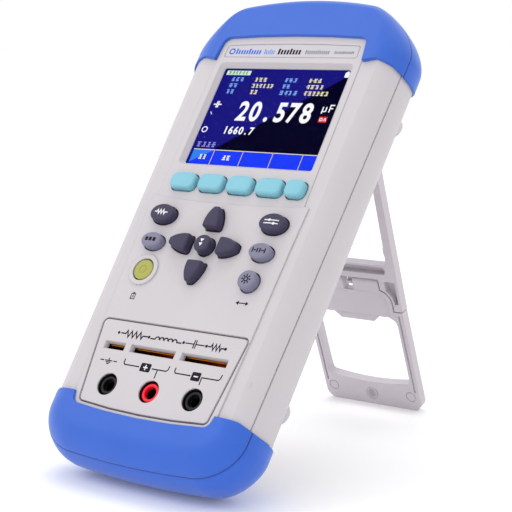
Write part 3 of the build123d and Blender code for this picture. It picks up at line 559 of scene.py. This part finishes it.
# ------------------------------------------------------------------ display
LIT_OUT = -3.66           # underside of the lit shapes, just inside the face of the display
LIT_WHITE = glow("lit_white", linear(252, 252, 255), 1.05)
LIT_CREAM = glow("lit_cream", linear(246, 236, 186), 1.05)
LIT_SKY = glow("lit_sky", linear(132, 180, 255), 1.05)
LIT_MAUVE = glow("lit_mauve", linear(150, 146, 226), 1.0)
LIT_RED = glow("lit_red", linear(240, 24, 40), 1.0)
LIT_GREEN = glow("lit_green", linear(214, 244, 212), 1.05)
LIT_MOSS = glow("lit_moss", linear(84, 150, 92), 1.0)
LIT_BLUE = glow("lit_blue", linear(12, 56, 255), 1.0)
# painted reflection: the lighter blue of the glare where it crosses the first box
LIT_GLARE_BLUE = glow("lit_glare_blue", linear(52, 132, 248), 1.0)

BOX_EDGES = (-29.0, -18.7, -5.25, 8.35, 21.6, 28.7)
BAR_LOW, BAR_TOP = -20.6, -14.05


def capacitor(x, up, reach, gap, tall, width):
    """Two plates across a broken line."""
    leads = ribbon([(x - reach, up), (x - gap, up)], width)
    leads += ribbon([(x + gap, up), (x + reach, up)], width)
    plates = block(x - gap, x - gap + width, up - tall, up + tall)
    plates += block(x + gap - width, x + gap, up - tall, up + tall)
    return leads + plates


def make_display():
    """The lit shapes of the display, from its readings to the boxes above the soft keys, and a patch of
    painted glare on the first box.
    """
    reading = number("20.578", -13.35, 5.8, 4.75, -1.06, 7.8)
    reading += number("1660.7", -17.7, 2.4, 1.95, -7.0, -3.6)
    reading += capacitor(-26.7, 6.0, 1.9, 0.6, 1.45, 0.5)
    reading += ring(-27.8, -5.4, 1.15, 0.42)
    reading += ribbon([(-28.5, 2.6), (-27.6, 1.4)], 0.28)
    reading += ribbon([(22.0, 3.5), (22.0, 6.4)], 0.5) + ribbon([(23.5, 4.3), (23.5, 6.4)], 0.5)
    reading += ribbon([(22.25, 4.4), (23.25, 4.4)], 0.45)
    reading += ribbon([(25.0, 4.1), (25.0, 7.4)], 0.5)
    reading += block(25.25, 26.7, 6.9, 7.4) + block(25.25, 26.4, 5.5, 5.95)
    thin_piece("lit_reading", reading, LIT_OUT, "case", LIT_WHITE)
    thin_piece("lit_status", dashes(-28.6, -19.25, -13.1, -10.9, 3), LIT_OUT, "case", LIT_MAUVE)
    thin_piece("lit_warning", block(21.95, 25.5, -0.3, 2.2), LIT_OUT, "case", LIT_RED, 0.02)
    warning_mark = ring(22.9, 0.95, 0.55, 0.3) + ribbon([(24.1, 0.3), (24.6, 1.5), (25.1, 0.3)], 0.3)
    thin_piece("lit_warning_mark", warning_mark, LIT_OUT, "case", LIT_WHITE)

    labels, values = [], []
    rows = ((16.8, 18.5), (14.0, 15.7), (11.1, 12.9))
    label_starts, value_starts = (-25.3, -0.25), (-14.4, 10.7)
    label_ends = ((-19.1, 5.85), (-21.1, 3.6), (-21.5, 8.0))
    value_ends = ((-8.2, 16.85), (-4.1, 18.6), (-10.2, 21.8))
    for line, (low, top) in enumerate(rows):
        for column in range(2):
            seed = line * 2 + column
            labels += dashes(label_starts[column], label_ends[line][column], low, top, 10 + seed)
            values += dashes(value_starts[column], value_ends[line][column], low, top, 20 + seed)
    thin_piece("lit_labels", labels, LIT_OUT, "case", LIT_SKY)
    thin_piece("lit_values", values, LIT_OUT, "case", LIT_CREAM)
    tag = block(-28.7, -17.2, 19.6, 21.6)
    thin_piece("lit_tag", tag, LIT_OUT, "case", LIT_GREEN, 0.02)
    thin_piece("lit_tag_mark", dashes(-27.8, -18.4, 19.9, 21.3, 31), LIT_OUT, "case", LIT_MOSS)
    cell = round_block(25.7, 27.8, 19.3, 21.6, 0.4) + block(26.3, 27.2, 21.6, 21.95)
    thin_piece("lit_cell", cell, LIT_OUT, "case", LIT_WHITE)

    boxes, lines = [], []
    for left, right in zip(BOX_EDGES[:-1], BOX_EDGES[1:]):
        boxes += block(left + 0.2, right - 0.2, BAR_LOW, BAR_TOP - 0.3)
        lines += block(left + 0.2, right - 0.2, BAR_TOP - 0.3, BAR_TOP)
    for edge in BOX_EDGES[1:-1]:
        lines += block(edge - 0.22, edge, BAR_LOW, BAR_TOP)
    thin_piece("lit_boxes", boxes, LIT_OUT, "case", LIT_BLUE, 0.02)
    thin_piece("lit_box_lines", lines, LIT_OUT, "case", LIT_CREAM, 0.025)
    # painted reflection: the glare's lighter blue over the first box
    glare_patch = [[(-28.7, -16.9), (-28.7, BAR_TOP - 0.35), (-19.1, BAR_TOP - 0.35), (-23.0, -16.4)],
             [(-28.7, -16.9), (-23.0, -16.4), (-28.7, -19.9)]]
    thin_piece("lit_glare_patch", glare_patch, LIT_OUT, "case", LIT_GLARE_BLUE, 0.03)
    names = dashes(-25.2, -21.4, -18.4, -16.4, 41) + dashes(-14.0, -10.2, -18.4, -16.4, 42)
    thin_piece("lit_box_marks", names, LIT_OUT, "case", LIT_WHITE)


# ------------------------------------------------------------------ printed marks
SOCKETS_AT = [place_on_panel(side + "_socket") for side in ("guard", "high", "low")]
PRINT_OUT = -0.01         # underside of the marks on the front panel
PRINT_THICK = 0.04
PLATE_OUT = -0.31         # underside of the marks on the name plate
GROOVE_FLOOR = -0.51      # floor of the groove round the terminals
GROOVE_TURN = 2.0         # how far back its corners begin to turn


def zigzag(x, up, reach, tall, peaks, width):
    """Resistor symbol with its two leads."""
    span = reach * 1.3
    points = [(x - reach, up), (x - span / 2, up)]
    for peak in range(peaks * 2):
        side = 1 if peak % 2 == 0 else -1
        points.append((x - span / 2 + span * (peak + 0.5) / (peaks * 2), up + side * tall))
    points += [(x + span / 2, up), (x + reach, up)]
    return ribbon(points, width)


def coil(x, up, reach, loops, width):
    """Inductor symbol: a row of half circles between two leads."""
    radius = reach * 0.7 / loops
    points = [(x - reach, up)]
    for loop in range(loops):
        middle = x - reach * 0.7 + radius * (2 * loop + 1)
        points += arc(middle, up, radius, 180, 0, 8)
    points.append((x + reach, up))
    return ribbon(points, width)


def ground(x, up, width):
    """Screen terminal symbol: stem and three shrinking bars."""
    faces = ribbon([(x, up + 1.1), (x, up + 0.25)], width)
    for step, half in enumerate((1.7, 1.1, 0.5)):
        level = up - 0.62 * step
        faces += block(x - half, x + half, level - width / 2 + 0.1, level + width / 2 + 0.1)
    return faces


def make_terminal_marks():
    """Row of circuit symbols, and the brackets and signs that tie slots to sockets."""
    line = disc(-23.4, -93.5, 0.55) + zigzag(-16.2, -93.5, 6.2, 1.2, 4, 0.5)
    line += disc(-9.4, -93.5, 0.55) + coil(-1.6, -93.9, 7.0, 5, 0.5)
    line += disc(6.2, -93.5, 0.55) + capacitor(11.2, -93.5, 4.2, 0.6, 1.6, 0.42)
    line += disc(16.2, -93.5, 0.55) + zigzag(20.4, -93.5, 3.5, 1.15, 3, 0.5) + disc(24.4, -93.5, 0.55)
    line += ground(-22.7, -104.6, 0.4)
    line += ribbon([(-26.6, -104.5), (-24.9, -104.5)], 0.4)
    line += ribbon([(-20.5, -104.5), (-18.8, -104.5)], 0.4)
    high = ribbon([(-15.56, -102.8), (-15.62, -104.2), (-15.0, -104.9), (-8.3, -104.9)], 0.44)
    high += ribbon([(-2.6, -104.85), (3.7, -104.85), (4.4, -104.3), (4.6, -102.8)], 0.44)
    high += ribbon([(0.0, -105.05), (0.0, -108.2)], 0.44)
    low = ribbon([(7.4, -102.9), (7.35, -104.2), (7.9, -104.9), (14.6, -104.9)], 0.44)
    low += ribbon([(19.3, -104.9), (26.5, -104.85), (27.1, -104.2), (27.3, -102.7)], 0.44)
    low += ribbon([(19.4, -105.1), (19.5, -107.6)], 0.44)
    thin_piece("terminal_marks", line + high + low, PRINT_OUT, "case", BLACK_INK, PRINT_THICK)
    tags = round_block(-7.75, -3.2, -106.4, -103.2, 0.5) + round_block(15.0, 18.8, -106.5, -103.3, 0.5)
    thin_piece("terminal_tags", tags, PRINT_OUT, "case", BLACK_INK, 0.05)
    signs = block(-6.45, -4.5, -105.05, -104.55)
    signs += block(-5.72, -5.23, -104.55, -103.8) + block(-5.72, -5.23, -105.8, -105.05)
    signs += block(15.95, 17.85, -105.15, -104.65)
    thin_piece("terminal_signs", signs, PRINT_OUT, "case", WHITE_INK, 0.07)


GROOVE_CORNERS = [(-32.6, -88.6), (32.6, -88.6), (28.55, -120.65), (-28.55, -120.65)]
GROOVE_SOLE = [(14.0, -121.6), (0.0, -121.9), (-14.0, -121.6)]
GROOVE_STEPS = 6          # steps round each corner


def make_groove_shade():
    """Painted shade: a dull, darker strip on the floor of the groove round the terminals."""
    corners = GROOVE_CORNERS
    turned = []
    for index, (x, up) in enumerate(corners):
        for beside in (corners[index - 1], corners[(index + 1) % len(corners)]):
            far = math.hypot(beside[0] - x, beside[1] - up)
            share = GROOVE_TURN / far
            turned.append((x + (beside[0] - x) * share, up + (beside[1] - up) * share))
    line = []
    for index, (x, up) in enumerate(corners):
        start, end = turned[2 * index], turned[2 * index + 1]
        for step in range(GROOVE_STEPS + 1):
            t = step / GROOVE_STEPS
            line.append(((1 - t) ** 2 * start[0] + 2 * t * (1 - t) * x + t * t * end[0],
                         (1 - t) ** 2 * start[1] + 2 * t * (1 - t) * up + t * t * end[1]))
        if index == 2:
            line += GROOVE_SOLE
    thin_piece("groove_shade", ribbon(line, 0.5, closed=True), GROOVE_FLOOR, "case", GROOVE, 0.05)


LINING = ((4.19, -0.55), (4.0, -0.75), (3.95, -2.3), (4.19, -2.3))    # its section: radius, mm out
LINING_STEPS = 48


# black insulator, also painted shade on the walls of the socket openings
def make_socket_linings():
    """Dark linings of the three socket openings, from just under the panel to the sockets: black insulator,
    and painted shade on the walls of the openings.
    """
    sleeve = bmesh.new()
    for x, up in SOCKETS_AT:
        rings = []
        for step in range(LINING_STEPS):
            turn = math.tau * step / LINING_STEPS
            across, along = math.cos(turn), math.sin(turn)
            rings.append([sleeve.verts.new(on_panel(x + far * across, up + far * along, out))
                          for far, out in LINING])
        for step in range(LINING_STEPS):
            here, after = rings[step], rings[(step + 1) % LINING_STEPS]
            for index in range(len(LINING)):
                beyond = (index + 1) % len(LINING)
                sleeve.faces.new((here[index], after[index], after[beyond], here[beyond]))
    bmesh.ops.recalc_face_normals(sleeve, faces=sleeve.faces)
    mesh = bpy.data.meshes.new("socket_linings")
    sleeve.to_mesh(mesh)
    sleeve.free()
    mesh.materials.append(BLACK)
    mesh.polygons.foreach_set("use_smooth", [True] * len(mesh.polygons))
    mesh.set_sharp_from_angle(angle=SHARP)
    piece = bpy.data.objects.new("socket_linings", mesh)
    bpy.context.scene.collection.objects.link(piece)
    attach(piece, "case")


def make_panel_marks():
    """Battery and two-way arrow below the keys."""
    cell = ribbon([(-25.2, -80.0), (-23.4, -80.0), (-23.4, -77.9), (-25.2, -77.9)], 0.3, closed=True)
    cell += block(-24.75, -23.85, -77.7, -77.35)
    bolt = ribbon([(-24.1, -78.2), (-24.5, -78.95), (-24.1, -78.95), (-24.5, -79.7)], 0.22)
    arrows = ribbon([(21.9, -76.1), (25.3, -76.1)], 0.38)
    arrows += [[(20.9, -76.1), (22.1, -76.9), (22.1, -75.3)], [(26.3, -76.1), (25.1, -75.3), (25.1, -76.9)]]
    thin_piece("panel_marks", cell + bolt + arrows, PRINT_OUT, "case", BLACK_INK, PRINT_THICK)


def make_plate_marks():
    """Plain ring and graduated scales in four tones on the name plate."""
    scale_blue = ink("scale_blue", linear(52, 108, 226))
    scale_sky = ink("scale_sky", linear(92, 152, 236))
    scale_grey = ink("scale_grey", linear(92, 90, 100))
    blue = ring(-27.4, 28.2, 1.15, 0.55) + ticks(-25.4, -13.2, 27.0, 29.5, 1.22, 0.7, 5, 0.72)
    thin_piece("plate_scale_blue", blue, PLATE_OUT, "case", scale_blue)
    sky = ticks(-12.0, -6.9, 27.0, 29.3, 0.85, 0.42, 3, 0.75)
    thin_piece("plate_scale_sky", sky, PLATE_OUT, "case", scale_sky)
    dark = ticks(-5.6, 5.2, 27.0, 29.6, 1.35, 0.85, 4, 0.78)
    thin_piece("plate_scale_dark", dark, PLATE_OUT, "case", BLACK_INK)
    grey = ticks(7.0, 18.0, 27.2, 29.1, 0.92, 0.34, 6, 0.8)
    grey += ticks(20.0, 28.4, 27.4, 28.7, 0.62, 0.26, 6, 0.8)
    thin_piece("plate_scale_grey", grey, PLATE_OUT, "case", scale_grey)


# ------------------------------------------------------------------ key legends
CAP_RISE, CAP_CROWN = 3.1, 32.0
LEGEND_DOWN = 0.015
LEGEND_THICK = 0.045
LABELLED_KEYS = ("measure_key", "setup_key", "system_key", "hold_key", "light_key", "enter_key")
KEY_AT = {key: place_on_panel(key) for key in LABELLED_KEYS}


def legend(key, faces, material):
    """Printed mark that follows the dome of its key and rides on it."""
    crown = (*KEY_AT[key], CAP_CROWN)
    thin_piece(key + "_legend", faces, CAP_RISE - LEGEND_DOWN, key, material, LEGEND_THICK, crown)


def make_legends():
    """One symbol on each labelled key."""
    x, up = KEY_AT["measure_key"]
    legend("measure_key", zigzag(x, up, 3.0, 0.85, 3, 0.5), WHITE_INK)
    x, up = KEY_AT["setup_key"]
    sliders = ribbon([(x - 3.1, up + 0.62), (x - 1.45, up + 0.62)], 0.44)
    sliders += ribbon([(x - 0.35, up + 0.62), (x + 3.1, up + 0.62)], 0.44)
    sliders += ribbon([(x - 3.1, up - 0.62), (x + 0.65, up - 0.62)], 0.44)
    sliders += ribbon([(x + 1.75, up - 0.62), (x + 3.1, up - 0.62)], 0.44)
    sliders += disc(x - 0.9, up + 0.62, 0.55) + disc(x + 1.2, up - 0.62, 0.55)
    legend("setup_key", sliders, WHITE_INK)
    x, up = KEY_AT["system_key"]
    tiles = []
    for step in (-1, 0, 1):
        tiles += round_block(x + step * 1.75 - 0.65, x + step * 1.75 + 0.65, up - 0.75, up + 0.75, 0.2, 2)
    legend("system_key", tiles, BLACK_INK)
    x, up = KEY_AT["hold_key"]
    hold = ribbon([(x - 2.6, up - 0.95), (x - 2.6, up + 0.95)], 0.46)
    hold += ribbon([(x + 2.6, up - 0.95), (x + 2.6, up + 0.95)], 0.46)
    hold += ribbon([(x - 0.55, up - 0.85), (x - 0.55, up + 0.85)], 0.5)
    hold += ribbon([(x + 0.55, up - 0.85), (x + 0.55, up + 0.85)], 0.5)
    hold += ribbon([(x - 2.2, up), (x - 1.1, up)], 0.44) + ribbon([(x + 1.1, up), (x + 2.2, up)], 0.44)
    legend("hold_key", hold, BLACK_INK)
    x, up = KEY_AT["light_key"]
    sun = ring(x, up, 0.78, 0.42)
    for ray in range(8):
        turn = math.radians(45 * ray)
        ends = [(x + far * math.cos(turn), up + far * math.sin(turn)) for far in (1.15, 1.9)]
        sun += ribbon(ends, 0.46)
    legend("light_key", sun, BLACK_INK)
    x, up = KEY_AT["enter_key"]
    down = [[(x - 0.85, up + 1.5), (x, up + 0.15), (x + 0.85, up + 1.5)],
            [(x - 0.85, up - 0.15), (x, up - 1.5), (x + 0.85, up - 0.15)]]
    legend("enter_key", down, WHITE_INK)


make_camera()
make_studio()
dress_frame()
make_display()
make_terminal_marks()
make_groove_shade()
make_socket_linings()
make_panel_marks()
make_plate_marks()
make_legends()
